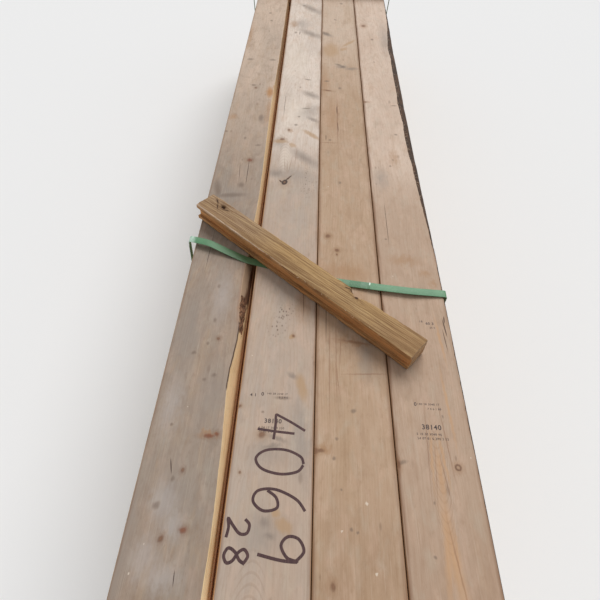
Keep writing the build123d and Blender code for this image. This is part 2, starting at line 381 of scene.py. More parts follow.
def top_pine(name, left, near, middle_height, width, look):
    """The finish of one stud of the top course. Marks are placed from its left edge and its near end, in mm."""
    finish = Finish(name, 0.28)
    x, y, z = finish.split(finish.point())
    across = x - left
    along = y - near
    height = z - middle_height
    centred = across - width / 2
    seed = look["seed"]
    flat = finish.join(across, along, 0.0)
    own = finish.join(across + seed * 210.0, along + seed * 1700.0, height)
    ragged = finish.vector("SUBTRACT", finish.noise(own, (9, 16, 9), 3.0, 0.62, colour=True), (0.5, 0.5, 0.5))
    spot = finish.vector("ADD", flat, finish.vector("MULTIPLY", ragged, (8.0, 13.0, 0)))
    fibre = finish.noise(own, (1.1, 70, 1.1), 4.0, 0.62)
    streaky = finish.noise(own, (5.5, 420, 9), 3.0, 0.6)
    cloud = finish.noise(own, (75, 330, 60), 3.0, 0.55, warp=0.3)
    patch = finish.noise(own, (20, 80, 30), 4.0, 0.62, warp=0.5)
    ragged_along = finish.split(ragged)[1]
    mottle = finish.split(finish.noise(own, (22, 52, 22), 4.0, 0.58, colour=True, warp=0.3))
    loose_spot = finish.vector("ADD", spot, finish.vector("MULTIPLY", ragged, (20.0, 34.0, 0)))
    wavy = finish.vector("ADD", flat, finish.vector("MULTIPLY", ragged, (3.0, 4.0, 0)))
    near_spot = finish.vector("ADD", flat, finish.vector("MULTIPLY", ragged, (4.5, 6.5, 0)))
    read_at = {"check": flat, "thread": wavy, "ring": wavy}
    read_at |= dict.fromkeys(("cloud", "tan", "specks", "frost"), loose_spot)
    read_at |= dict.fromkeys(("red", "brown", "grey", "bark"), near_spot)
    found = {kind: marks(finish, read_at.get(kind, spot), listed) for kind, listed in look["marks"].items()}
    swirl = finish.least([found[kind] for kind in ("red", "brown", "bark", "ring") if kind in found])
    pull = finish.maths("POWER", 2.718, swirl * -0.55) * 12.0
    ring, rings = growth(finish, centred, along, height, *look["pith"], seed, pull)
    for middle, start, curve, reach in look["arcs"]:
        bowl = along + (across - middle) * (across - middle) * curve
        waves = finish.maths("SINE", bowl * 0.42 + fibre * 1.5)
        inside = finish.vector("LENGTH", finish.join((across - middle) / 30.0, (bowl - start) / reach), out="Value")
        ring = ring + finish.rise(waves, 0.35, 0.95) * finish.rise(inside, 1.0, 0.5) * 1.5
    facing_x, facing_y, facing_z = finish.facing()
    upward = finish.rise(facing_z, 0.75, 0.95)
    across_grain = finish.rise(abs(facing_y), 0.55, 0.8)
    rim = finish.stored("rim")
    cut = finish.rise(rim, -0.4, 0.6)

    # Each stud's top turns paler towards its far end: a painted sheen, the sky's reflection on the wood at a grazing
    # angle, laid into the greyed colour.
    far_sheen = finish.rise(along, *look["fade"])
    weathered_and_sheen = finish.layered(finish.mix(far_sheen, look["near"], look["far"]), [
        (along, 200.0, 0.0, look["dim"], look["grain"])])
    weathered_and_sheen = finish.mix(finish.rise(cloud, 0.35, 0.68) * (0.85 - far_sheen * 0.5), weathered_and_sheen, look["second"])
    weathered_and_sheen = finish.layered(weathered_and_sheen, [
        (patch, 0.48, 0.72, 0.42, look["third"]),
        (mottle[0], 0.48, 0.7, 0.2, look["grain"]),
        (mottle[1], 0.46, 0.72, look["blush"], (214, 182, 160)),
        (mottle[2], 0.48, 0.72, look["blush"], (186, 176, 158))])
    # Side faces take a colour by the way they face: unweathered wood, except that the first stud's pale right side is
    # partly painted light, lifting the shade in its open joint.
    edges = finish.mix(finish.rise(facing_x, -0.1, 0.1), look["left"], look["right"])
    fresh_and_lit_sides = finish.layered(edges, [(cloud, 0.35, 0.7, 0.3, (176, 134, 92))])
    wood = finish.mix(upward * (1 - cut), fresh_and_lit_sides, weathered_and_sheen)
    streaked = 1 - (1 - look["streaks"]) * upward
    wood = finish.mix(finish.rise(streaky, 0.5, 0.78) * 0.26 * streaked, wood, look["grain"])
    wood = finish.mix(ring * (look["contrast"] + (1 - upward) * 0.4), wood, look["grain"])
    wood = finish.mix(finish.rise(fibre, 0.5, 0.76) * 0.24 * streaked, wood, look["grain"])
    wood = finish.layered(wood, [(fibre, 0.46, 0.25, 0.2, (224, 208, 188))])

    # Each layer is mixed in before the next mask is made, because a material holds only so many values at a time
    soot = finish.noise(own, (6, 15, 6), 3.0, 0.7)
    wood = finish.mix(finish.rise(soot, 0.5, 0.76) * 0.26 * (1 - cut), wood, look["grain"])
    values = {"Vector": finish.vector("DIVIDE", own, (30, 75, 30)), "Scale": 1.0}
    away = finish.node("ShaderNodeTexVoronoi", {}, values, "Distance")
    luck = finish.split(finish.node("ShaderNodeTexVoronoi", {}, values, "Color"))
    flecks = finish.rise(away / (luck[0] * 0.16 + 0.015), 1.2, 0.3) * finish.rise(luck[1], 0.35, 0.4)
    wood = finish.mix(flecks * 0.38 * (1 - cut), wood, (118, 92, 74))
    halo = finish.rise(swirl, 3.2, 0.8) * (streaky * 0.5 + fibre * 0.6)
    wood = finish.mix(halo * 0.75, wood, look["halo"])
    values = {"Vector": finish.vector("DIVIDE", own, (5.5, 9.0, 5.5)), "Scale": 1.0}
    dot = finish.node("ShaderNodeTexVoronoi", {}, values, "Distance")
    dotted = finish.rise(dot + luck[2] * 0.15, 0.44, 0.14)
    uneven = patch * 0.5 + fibre * 0.5 + 0.48
    for kind, distance in found.items():
        colour, strength, outside, full = mark_kinds[kind]
        shown = finish.rise(distance, outside, full) * strength
        if kind == "ring":
            shown = shown * finish.rise(distance, 0.25, 0.8)
        if kind == "specks":
            shown = shown * dotted
        if kind not in ("pitch", "check", "bark"):
            shown = shown * uneven
        wood = finish.mix(shown * upward, wood, colour)
        if kind in ("red", "brown", "bark"):
            heart = finish.rise(distance, 0.75, 0.1) * (0.6 if kind == "bark" else 0.35)
            wood = finish.mix(heart * upward, wood, (150, 112, 86) if kind != "red" else (138, 86, 62))

    side = abs(centred)
    # The top is darker in patches along its long edges, beside the joints.
    edge_patches = finish.noise(own, (6, 120, 20), 3.0, 0.6)
    edge_darkening = finish.rise(side, width / 2 - look["edge_darkening_width"], width / 2 - 1.5) * finish.rise(edge_patches, 0.3, 0.6)
    wood = finish.mix(edge_darkening * look["edge_darkening"] * upward * (1 - cut), wood, (122, 84, 60))
    # The lower part of each side face is darker and browner: painted shade, where less light reaches down the joints.
    painted_shade_low_sides = finish.rise(height, -9.0, -19.0) * (1 - upward) * (1 - across_grain)
    wood = finish.mix(painted_shade_low_sides * 0.4, wood, (168, 120, 76))
    wood = sawn_end(finish, wood, (ring, rings), centred, along, height, across_grain, (seed * 0.37) % 1.0)
    inner_bark = finish.noise(own, (6, 46, 6), 4.0, 0.65)
    skin = finish.mix(finish.rise(inner_bark, *look["skin_cover"]), look["skin"], look["skin_dark"])
    skin = finish.layered(skin, [
        (fibre, 0.48, 0.75, 0.35, look["skin_light"]),
        (along, 40.0, 330.0, look["far_skin"] * 0.6, (190, 154, 114)),
        (along, 1380.0, 1640.0, look["far_skin"], (128, 92, 64))])
    rounded = cut * finish.rise(facing_z, 0.04, 0.14) * (1 - across_grain)
    crust_from, crust_to = look["crust"]
    leaning = along + ragged_along * 60.0 - rim * 5.0
    crust = finish.rise(leaning, crust_from - 14.0, crust_from + 14.0)
    crust = crust * finish.rise(along + ragged_along * 50.0, crust_to + 30.0, crust_to - 20.0)
    onset = finish.rise(along, 515.0, 610.0) * 9.5
    crusty = finish.mix(finish.rise(rim + inner_bark * 5.0 - onset, 2.0, 6.0), (170, 144, 120), (92, 60, 43))
    crusty = finish.mix(finish.rise(inner_bark, 0.48, 0.6) * finish.rise(rim - onset, -3.0, 3.0) * 0.6, crusty,
                        (58, 36, 26))
    skin = finish.mix(crust * 0.96, skin, crusty)
    wood = finish.mix(crust * finish.rise(rim, -9.0, 1.0) * finish.rise(rim, 12.0, 0.0) * 0.45, wood,
                      (150, 112, 90))
    covering = finish.maths("MAXIMUM", rounded, crust * finish.rise(rim, -1.0, 1.5) * (1 - across_grain))
    wood = finish.mix(covering, wood, skin)
    line_from, line_to = look["bark_line"]
    line = finish.rise(abs(rim + inner_bark * 1.2 - 0.4), 1.6, 0.8) * finish.rise(along, line_from - 12.0, line_from)
    line = line * finish.rise(along, line_to + 10.0, line_to) * finish.rise(inner_bark, 0.3, 0.44)
    wood = finish.mix(line * 0.9, wood, (62, 40, 34))
    relief = ring * 0.30 + fibre * 0.45 + patch * 0.4 + rounded * inner_bark * 1.5
    relief = relief - finish.rise(found["check"], 1.2, 0.6) * 1.6 - line * 1.5
    relief = relief + finish.rise(swirl, 1.1, 0.7) * 0.5
    return finish.finish(wood, 0.60 + cloud * 0.16 + fibre * 0.14, relief, 0.5, 0.55)


# What a stud whose edges are square, with no bark on them, leaves unsaid in its own look
no_wane = {"arcs": [], "crust": (-900.0, -800.0), "bark_line": (-900.0, -800.0), "far_skin": 0.0,
            "skin": (198, 160, 112), "skin_dark": (160, 116, 76), "skin_light": (222, 190, 150),
            "skin_cover": (0.5, 0.75)}
top_looks = [
    # The first stud's pale golden right side and wane skin are partly bare wood, partly painted light that lifts the
    # shade in its open joint.
    {"seed": 1.0, "streaks": 0.45, "pith": (18.0, -62.0), "contrast": 0.15, "edge_darkening": 0.35, "edge_darkening_width": 8.0,
     "fade": (900.0, 1700.0), "near": (162, 143, 127), "far": (204, 181, 161), "second": (152, 139, 127),
     "third": (170, 144, 118), "grain": (124, 100, 82), "halo": (128, 98, 76), "left": (184, 154, 118),
     "right": (246, 214, 160), "crust": (486.0, 672.0), "blush": 0.16, "dim": 0.2, "skin": (240, 214, 170),
     "skin_dark": (226, 194, 146), "skin_light": (246, 228, 196), "skin_cover": (0.45, 0.72),
     "bark_line": (345.0, 490.0), "far_skin": 0.7,
     "marks": {
         "cloud": [(62, 150, 30, 60), (30, 470, 26, 120), (60, 905, 52, 34), (100, 330, 30, 80), (4, 40, 14, 190)],
         "amber": [(120, 1454, 12, 34), (131, 1492, 4, 12)],
         "frost": [(51, 134, 22, 34, 10), (74, 100, 18, 24), (40, 56, 22, 30), (86, 560, 20, 70), (70, 30, 30, 20),
                   (30, 300, 18, 60)],
         "tan": [(104, 250, 18, 8, 4), (119.8, 1454, 15, 30), (132, 545, 10, 50), (8, 1900, 9, 120),
                 (124, 1330, 10, 90), (14, 1290, 15, 16)],
         "grey": [(41, 129, 5.5, 6), (59, 172, 3.5, 5), (74, 590, 3, 6), (79.5, 497, 3, 6), (97, 367, 5, 4, 20),
                  (80, 357, 4, 4), (21, 932, 9, 40, 10), (81, 949, 9, 12), (108.8, 1140, 9, 5, 8), (66.7, 1174, 4, 7),
                  (5, 1207, 6, 5), (61, 1498, 9, 8), (30, 1691, 11, 9), (112, 1692, 12, 7), (69, 2130, 6, 8),
                  (80, 2050, 5, 8), (60, 905, 40, 9, 8), (104, 1290, 8, 20), (74, 439, 3, 4), (50, 415, 5, 4, 30),
                  (38, 265, 3, 3), (110, 2400, 7, 9), (44, 2620, 7, 10)],
         "brown": [(59, 81, 4, 5, -30), (93, 452, 3.5, 4), (70, 1480, 4, 5), (73, 186, 3, 4), (90, 2760, 7, 10),
                   (131, 306, 2.5, 3)],
         "red": [(119.5, 251, 4.5, 4), (107, 247, 9, 4, 4), (91, 95, 6, 5.5), (93, 1064, 8, 8, -12)],
         "check": [(52, 192, 0.9, 13, 14), (92.4, 1006, 0.8, 56, 1), (70, 1010, 0.6, 40, 4), (37, 700, 0.6, 60, -1),
                   (90, 30, 0.7, 10, 4)],
         "pitch": [(22, 34, 1.6, 2), (36, 72, 1.3, 1.6), (60, 300, 1, 1.4)]}},
    {"seed": 2.0, "streaks": 0.6, "pith": (-12.0, -48.0), "contrast": 0.18, "edge_darkening": 0.5, "edge_darkening_width": 8.0,
     "fade": (880.0, 1240.0), "near": (186, 164, 146), "far": (226, 211, 198), "second": (180, 165, 152),
     "third": (192, 167, 144), "grain": (156, 130, 110), "halo": (160, 128, 100), "left": (226, 172, 120),
     "right": (158, 120, 88), "blush": 0.26, "dim": 0.1,
     "arcs": [(52.0, 34.0, 0.05, 60.0), (40.0, 1100.0, 0.1, 110.0)],
     "marks": {
         "cloud": [(60, 225, 34, 26), (20, 1160, 20, 28), (54, 2030, 36, 50), (118, 250, 14, 90, 8), (66, 100, 40, 40),
                   (70, 1010, 60, 34, -16), (100, 1340, 34, 60, -30)],
         "smear": [(76, 252, 20, 5, -20), (68, 238, 16, 4, 12), (64, 116, 7, 8, 30), (74, 96, 8, 5),
                   (97, 378, 12, 5, -30), (97, 1090, 60, 18, -45), (110, 1449, 38, 16, -36), (96, 1938, 60, 20, -41),
                   (98, 2193, 72, 20, -50), (118, 1296, 24, 9, -38), (20, 1010, 22, 16, -10)],
         "band": [(114, 1210, 40, 10, -44), (22, 1168, 26, 12), (60, 1150, 14, 10, -60), (95, 112, 17, 12, -35),
                  (82, 130, 9, 7, -35), (115, 354, 11, 32, 14), (91, 468, 5, 5)],
         "specks": [(76, 528, 24, 26), (62, 488, 20, 22), (110, 980, 20, 60)],
         "pale": [(44, 1085, 15, 62), (60, 1330, 40, 90), (50, 1700, 44, 150)],
         "tan": [(52, 1227, 7, 12), (112, 560, 16, 60), (24, 2030, 18, 40)],
         "grey": [(36, 1945, 5, 10), (52, 1940, 3, 16, -4), (65, 1262, 6, 6), (73, 1310, 4, 5), (95, 1556, 11, 5, -18),
                  (95, 1362, 14, 4, 8), (69, 520, 2, 3), (46, 300, 3, 3), (70, 1500, 3, 5), (80, 330, 14, 4),
                  (60, 2230, 7, 10), (98, 2560, 7, 12)],
         "brown": [(48, 258, 6.5, 6.5), (28, 1180, 7, 6), (45, 1232, 4, 6), (4, 310, 3, 3), (94, 470, 3, 3.5),
                   (18, 190, 2, 2.5), (62, 2760, 7, 10)],
         "bark": [(46.5, 973, 7.5, 12, -16), (57, 992, 2.4, 13, -32), (36, 976, 2.0, 7, 30)],
         "thread": [(50, 1040, 1.1, 34, 2), (43, 1052, 1.0, 40, 5), (58, 1050, 1.0, 36, -6), (72, 1090, 1.0, 40, -2)],
         "check": [(112, 560, 0.5, 40, 1), (24, 1380, 0.6, 70)],
         "pitch": [(14, 420, 1, 1.4), (66, 700, 1.2, 1.6)]}},
    {"seed": 3.0, "streaks": 0.9, "pith": (25.0, -70.0), "contrast": 0.15, "edge_darkening": 0.6, "edge_darkening_width": 9.0,
     "fade": (1250.0, 2100.0), "near": (185, 156, 130), "far": (203, 181, 161), "second": (180, 151, 123),
     "third": (194, 169, 144), "grain": (146, 114, 86), "halo": (150, 112, 80), "left": (158, 120, 86),
     "right": (150, 114, 82), "blush": 0.24, "dim": 0.42,
     "marks": {
         "cloud": [(55, 505, 12, 30), (100, 420, 20, 60)],
         "band": [(34, 1785, 36, 66), (105, 1853, 46, 9, 52), (84, 1800, 12, 20, -40)],
         "smear": [(22, 1925, 27, 12, -43), (74, 1654, 22, 14, -8), (108, 1640, 24, 10, 6)],
         "tan": [(14, 1530, 16, 110), (18, 226, 15, 12), (76, 451, 46, 7, -8), (40, 1320, 28, 110), (60, 640, 60, 30)],
         "grey": [(79, 1652, 9, 8), (65, 1494, 6, 8), (14, 1938, 20, 12, -43), (62, 1668, 14, 6, -30),
                  (20, 1540, 9, 6), (56.6, 971, 4, 6), (39.5, 246, 3, 3.5), (34, 211, 3.2, 3.5), (53, 2080, 4, 6),
                  (70, 300, 5, 4), (46, 160, 2, 2), (60, 100, 3, 3), (70, 96, 2, 2), (30, 1176, 5, 5),
                  (84, 2260, 7, 10)],
         "brown": [(24, 758, 6, 6, -15), (45, 711, 5, 5), (11, 224, 7, 4), (3, 223, 4, 5), (31, 22, 4, 6),
                   (22, 1475, 12, 4, -12), (45, 696, 2, 3), (40, 2520, 7, 10)],
         "thread": [(48, 424, 1.2, 34, -3), (43, 360, 1.0, 34, 5), (54, 1300, 2.2, 120), (28, 1161, 29, 2.2),
                    (27, 395, 1.2, 110), (40, 400, 1.2, 90), (78, 451, 34, 3, -8), (53, 1230, 1.6, 70, 1),
                    (96, 378, 40, 1.6, 3)],
         "check": [(53, 1350, 1.2, 24), (55, 1250, 0.9, 26, 2), (20, 520, 0.6, 70), (18, 1188, 0.9, 14)],
         "pitch": [(86, 141, 2, 2.6), (96, 41, 1.8, 3), (45, 97, 2.2, 1.6), (24, 950, 2, 2), (42, 610, 4, 5)]}},
    # The last stud's wane skin is dark brown: partly bark colour, partly painted shade on the wane along the pack's
    # edge.
    {"seed": 4.0, "streaks": 0.9, "pith": (-30.0, -58.0), "contrast": 0.15, "edge_darkening": 0.75, "edge_darkening_width": 9.0,
     "fade": (820.0, 1150.0), "near": (184, 158, 136), "far": (216, 194, 176), "second": (184, 158, 137),
     "third": (194, 166, 141), "grain": (152, 120, 95), "halo": (160, 120, 88), "left": (146, 110, 80),
     "right": (186, 156, 120), "blush": 0.24, "dim": 0.5, "arcs": [(72.0, 180.0, -0.16, 150.0)], "skin": (88, 60, 40),
     "skin_dark": (50, 35, 25), "skin_light": (134, 100, 68), "skin_cover": (0.35, 0.6),
     "marks": {
         "cloud": [(110, 1900, 26, 160), (30, 1000, 20, 50)],
         "tan": [(105, 652, 13, 11), (120, 620, 8, 12), (60, 690, 40, 16), (74, 1100, 14, 50)],
         "flame": [(71.5, 200, 6, 56), (74, 70, 10, 110, 5), (66, 90, 6, 90, -5), (61, 225, 3, 60, -4),
                   (81, 225, 3, 50, 5), (78, 60, 3, 60, -3), (112, 470, 3, 60, 4), (104, 320, 3, 80, 2)],
         "grey": [(91, 1223, 5, 5), (100, 1395, 10, 4), (60, 1060, 3, 4), (45, 71, 2.4, 3), (55, 149, 2.2, 3),
                  (91, 300, 2, 4), (8, 213, 11, 4, 20), (70, 1090, 2, 5), (58, 1900, 6, 8), (84, 2380, 7, 10),
                  (24, 760, 3, 3)],
         "ring": [(103.5, 209, 5.0, 5.2)],
         "brown": [(3, 210, 3, 7), (6, 1412, 9, 4), (30, 2030, 8, 10), (60, 2660, 7, 10)],
         "thread": [(56, 240, 1.0, 80, -3), (90, 262, 1.0, 80, 4), (64, 190, 0.9, 50, -5), (79, 190, 0.9, 40, 6),
                    (78, 60, 1.2, 60, 6)],
         "check": [(128, 521, 1.3, 9, -4), (126, 500, 1.3, 22, 4), (122, 470, 0.7, 26, 3), (30, 820, 0.6, 80)],
         "pitch": [(128, 226, 1.2, 2), (30, 640, 1.4, 2)]}}]

arris_mm = 3.0
log_radius_mm = 130.0
wane_tables = {
    1: ([0, 70, 140, 223, 280, 317, 348, 380, 450, 487, 545, 611, 700, 931, 1116, 1403, 1694, 2285, 3060],
        [5.0, 4.2, 5.4, 8.0, 11.0, 13.2, 14.8, 14.2, 8.8, 8.0, 14.5, 16.0, 11.0, 5.2, 7.0, 9.6, 5.0, 3.6, 3.4]),
    4: ([0, 500, 700, 800, 900, 1000, 1096, 1200, 1300, 1403, 1538, 1640, 1729, 1814, 1900, 2050, 2331, 3060],
        [3.2, 3.2, 4.0, 6.5, 11.0, 15.0, 19.5, 24.0, 21.5, 25.5, 22.5, 24.0, 20.5, 25.0, 19.0, 9.0, 3.6, 3.2])}


def wane_reach(number, along):
    """How far the log's round reaches in from a stud's planed edge, in mm."""
    wobble = 0.9 * noise.noise((along / 60, number * 7.3, 0.4)) + 0.5 * noise.noise((along / 13, 3.1, number))
    return max(3.1, float(np.interp(along, *wane_tables[number])) + wobble * (1 if number == 1 else 2.2))


def wane_drop(number, lost):
    """How far the log's round reaches down a stud's planed edge, in mm."""
    return min(28.0, 12.0 + lost * 0.95) if number == 1 else 3.0 + lost * 0.62


for number, look in enumerate(top_looks, start=1):
    node = f"stud_top_{number}"
    low, high = (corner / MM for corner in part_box(node))
    width, thickness = high.x - low.x, high.z - low.z
    middle = (low + high) / 2
    base = outline(width, thickness, arris_mm)
    section_step = 4.0 if number in wane_tables else 12.0
    steps = round((high.y - low.y) / section_step)
    sections, rims = [], []
    for step in range(steps, -1, -1):
        along = (high.y - low.y) * step / steps
        section, lost = base, -20.0
        if number in wane_tables:
            lost = wane_reach(number, along)
            section = rounded_off(base, width, thickness, log_radius_mm, lost, wane_drop(number, lost))
        sections.append([(MM * (middle.x + u), MM * (low.y + along), MM * (middle.z + w)) for u, w in section])
        rims += [(u - (width / 2 - lost)) if lost > 0 else -20.0 for u, w in section]
    mesh = tube_mesh(f"planed_stud_{number}", sections)
    mesh.attributes.new("rim", "FLOAT", "POINT").data.foreach_set("value", rims)
    finish = top_pine(f"pine_top_{number}", low.x, low.y, middle.z, width, {**no_wane, **look})
    stud = piece(f"planed_stud_{number}", mesh, finish)
    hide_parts(node)


class Maker(Graph):
    """A Geometry Nodes tree with named inputs, which ends in real mesh with its material set."""

    kinds = {"Material": "NodeSocketMaterial", "Seed": "NodeSocketInt"}

    def __init__(self, name, inputs):
        super().__init__(bpy.data.node_groups.new(name, "GeometryNodeTree"))
        face = self.tree.interface
        face.new_socket("Geometry", in_out="INPUT", socket_type="NodeSocketGeometry")
        self.keys = {}
        for label in (*inputs, "Material"):
            kind = self.kinds.get(label, "NodeSocketFloat")
            self.keys[label] = face.new_socket(label, in_out="INPUT", socket_type=kind).identifier
        face.new_socket("Geometry", in_out="OUTPUT", socket_type="NodeSocketGeometry")
        self.entry = self.tree.nodes.new("NodeGroupInput")

    def given(self, label):
        return Socket(self, self.entry.outputs[label])

    def close(self, geometry):
        real = self.node("GeometryNodeRealizeInstances", {}, {"Geometry": geometry})
        smooth = self.node("GeometryNodeSetShadeSmooth", {}, {0: real})
        bend = self.node("GeometryNodeInputMeshEdgeAngle")
        sharp = self.node("FunctionNodeCompare", {"operation": "GREATER_THAN"}, {0: bend, 1: radians(40)})
        marked = self.node("GeometryNodeStoreNamedAttribute", {"data_type": "BOOLEAN", "domain": "EDGE"},
                           {"Geometry": smooth, "Name": "sharp_edge", "Value": sharp})
        painted = self.node("GeometryNodeSetMaterial", {}, {"Geometry": marked, "Material": self.given("Material")})
        self.node("NodeGroupOutput", {}, {0: painted})

    def make(self, name, base, settings):
        """Runs the tree on a base mesh and returns the result as a plain mesh."""
        holder = bpy.data.objects.new("holder", base)
        bpy.context.collection.objects.link(holder)
        modifier = holder.modifiers.new("shape", "NODES")
        modifier.node_group = self.tree
        for label, value in settings.items():
            modifier[self.keys[label]] = value
        graph = bpy.context.evaluated_depsgraph_get()
        mesh = bpy.data.meshes.new_from_object(holder.evaluated_get(graph), preserve_all_data_layers=True,
                                               depsgraph=graph)
        mesh.name = name
        holder.modifiers.remove(modifier)
        bpy.data.objects.remove(holder)
        return mesh


# Strip of bark that the planer left on the first stud's wane, in rough scales
def wane_point(number, along, turn, out):
    """A point on a stud's wane, in mm: turn runs from 0 at the planed face to 1 at the planed edge."""
    low, high = (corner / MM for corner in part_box(f"stud_top_{number}"))
    lost = wane_reach(number, along)
    down = wane_drop(number, lost)
    slope = atan2(lost, down)
    bulge = 4 * turn * (1 - turn) * (lost ** 2 + down ** 2) / 8 / log_radius_mm
    u, w = high.x - lost * (1 - turn), high.z - down * turn
    push = out + bulge
    return Vector((u + push * cos(slope), low.y + along, w + push * sin(slope)))


bark_from, bark_to = 466.0, 576.0
rows, columns = 132, 20
bark_sunk, bark_rise, bark_rough, bark_backing = 3.2, 5.4, 1.6, 1.6
bark_points = []
for row in range(rows + 1):
    along = bark_from + (bark_to - bark_from) * row / rows
    taper = max(0.0, sin(pi * row / rows) ** 0.6 * (0.9 + 0.55 * noise.noise((along / 17, 1.0, 3.0))))
    for column in range(columns + 1):
        turn = 0.06 + 0.94 * column / columns
        rough = noise.noise((along / 9, turn * 5, 2.0)) + 0.6 * noise.noise((along / 3.4, turn * 13, 5.0))
        drift = 0.07 * noise.noise((along / 14, 7.0, 1.0))
        ridges = exp(-((turn - 0.22 - drift) / 0.16) ** 2) + 0.95 * exp(-((turn - 0.56 + drift) / 0.2) ** 2)
        out = -bark_sunk + (bark_rise + bark_rough * rough) * taper * ridges
        bark_points.append(tuple(wane_point(1, along, turn, out) * MM))
bark_faces = []
for row in range(rows):
    for column in range(columns):
        a = row * (columns + 1) + column
        bark_faces.append((a, a + columns + 1, a + columns + 2, a + 1))
bark_base = bpy.data.meshes.new("bark")
bark_base.from_pydata(bark_points, [], bark_faces)

bark = Finish("bark", 0.2)
spot = bark.point()
crust = bark.noise(spot, (3.5, 11, 3.5), 4.0, 0.65)
mould = bark.noise(spot, (1.2, 2.4, 1.2), 3.0, 0.6)
brown = bark.mix(bark.rise(crust, 0.38, 0.62), (62, 41, 31), (132, 94, 70))
brown = bark.mix(bark.rise(mould, 0.52, 0.7) * 0.6, brown, (182, 146, 114))
bark_brown = bark.finish(brown, 0.85 + mould * 0.1, crust + mould * 0.4, 1.2, 1.0)

scales = Maker("Scales on a surface", ["Spacing", "Length", "Breadth", "Thickness", "Seed"])
base = scales.given("Geometry")
thick_base = scales.node("GeometryNodeExtrudeMesh", {},
                         {"Mesh": base, "Offset Scale": -bark_backing * MM, "Individual": False})
scattered = scales.node("GeometryNodeDistributePointsOnFaces", {"distribute_method": "POISSON"},
                        {"Mesh": base, "Distance Min": scales.given("Spacing"), "Density Max": 400000.0,
                         "Seed": scales.given("Seed")})
flake = scales.node("GeometryNodeMeshIcoSphere", {}, {"Radius": 0.5, "Subdivisions": 1})
lengths = scales.node("FunctionNodeRandomValue", {"data_type": "FLOAT"}, {2: 0.5, 3: 1.25, "Seed": 3}, 1)
size = scales.join(scales.given("Breadth") * lengths, scales.given("Length") * lengths, scales.given("Thickness"))
lean = scales.node("FunctionNodeRandomValue", {"data_type": "FLOAT_VECTOR"},
                   {0: (-0.4, -0.1, -0.3), 1: (0.2, 0.8, 0.3), "Seed": 5}, 0)
placed = scales.node("GeometryNodeInstanceOnPoints", {},
                     {"Points": scattered, "Instance": flake, "Rotation": lean, "Scale": size})
joined = scales.node("GeometryNodeJoinGeometry", {}, {0: thick_base})
scales.tree.links.new(placed.link, joined.link.node.inputs[0])
scales.close(joined)
bark_mesh = scales.make("bark_strip", bark_base, {
    "Spacing": 2.8 * MM, "Length": 15.0 * MM, "Breadth": 2.0 * MM, "Thickness": 1.0 * MM, "Seed": 4,
    "Material": bark_brown})
piece("bark_strip", bark_mesh, bark_brown)

# Tally written on the second stud with a broad marker: plain numbers, one above the other across the grain
ink = Finish("marker_ink", 0.3)
spot = ink.point()
bleed = ink.noise(spot, (1.1, 40, 1.1), 3.0, 0.62)
dry = ink.noise(spot, (14, 30, 14), 2.0)
dark = ink.mix(ink.rise(bleed, 0.42, 0.68) * 0.5, (70, 48, 50), (112, 84, 78))
dark = ink.mix(ink.rise(dry, 0.5, 0.8) * 0.4, dark, (96, 66, 62))
marker_ink = ink.finish(dark, 0.55 + bleed * 0.2, bleed * 1.0, 0.05, 0.3)

point_spacing, ink_lift, ink_step = 0.7, 0.10, 0.01
strokes = Maker("Marker strokes", ["Width"])
path = strokes.node("GeometryNodeMeshToCurve", {}, {"Mesh": strokes.given("Geometry")})
smooth_path = strokes.node("GeometryNodeCurveSplineType", {"spline_type": "CATMULL_ROM"}, {"Curve": path})
even = strokes.node("GeometryNodeResampleCurve", {"mode": "LENGTH"},
                    {"Curve": smooth_path, "Length": point_spacing * MM})
up_path = strokes.node("GeometryNodeSetCurveNormal", {"mode": "Z_UP"}, {"Curve": even})
gone = strokes.node("GeometryNodeSplineParameter", out="Length")
whole = strokes.node("GeometryNodeSplineLength", out="Length")
half_wide = strokes.given("Width") * 0.5
reach = strokes.least([gone, whole - gone, half_wide])
to_tip = 1 - reach / half_wide
round_tip = strokes.maths("SQRT", 1 - to_tip * to_tip)
wobble = strokes.noise(strokes.node("GeometryNodeInputPosition"), (0.011, 0.011, 0.011), 3.0)
pressed = strokes.node("GeometryNodeSetCurveRadius", {},
                       {"Curve": up_path, "Radius": round_tip * (wobble * 0.7 + 0.68) + 0.02})
nib = strokes.node("GeometryNodeCurvePrimitiveLine", {},
                   {"Start": strokes.join(0 - half_wide), "End": strokes.join(half_wide)})
strokes.close(strokes.node("GeometryNodeCurveToMesh", {}, {"Curve": pressed, "Profile Curve": nib}))

digit_paths = {
    "4": [[(0.62, 1.0), (0.34, 0.72), (0.08, 0.42), (0.05, 0.38), (0.12, 0.365), (0.5, 0.37), (0.98, 0.35)],
          [(0.74, 0.78), (0.69, 0.4), (0.62, 0.0)]],
    "0": [[(0.56, 0.99), (0.3, 0.92), (0.08, 0.6), (0.12, 0.2), (0.42, 0.0), (0.78, 0.14), (0.94, 0.52),
           (0.84, 0.86), (0.6, 0.985)]],
    "6": [[(0.82, 1.0), (0.44, 0.82), (0.14, 0.42), (0.2, 0.08), (0.56, 0.0), (0.86, 0.2), (0.76, 0.46), (0.42, 0.44),
           (0.18, 0.26)]],
    "9": [[(0.84, 0.84), (0.56, 1.0), (0.22, 0.88), (0.16, 0.64), (0.42, 0.5), (0.76, 0.64), (0.86, 0.86),
           (0.84, 0.5), (0.7, 0.0)]],
    "2": [[(0.08, 0.78), (0.34, 1.0), (0.74, 0.92), (0.78, 0.6), (0.44, 0.28), (0.08, 0.02), (0.14, 0.0),
           (0.5, 0.06), (0.98, 0.0)]],
    "8": [[(0.8, 0.86), (0.48, 1.0), (0.2, 0.82), (0.36, 0.58), (0.72, 0.38), (0.82, 0.14), (0.5, 0.0), (0.16, 0.16),
           (0.34, 0.46), (0.68, 0.66), (0.84, 0.9)]]}
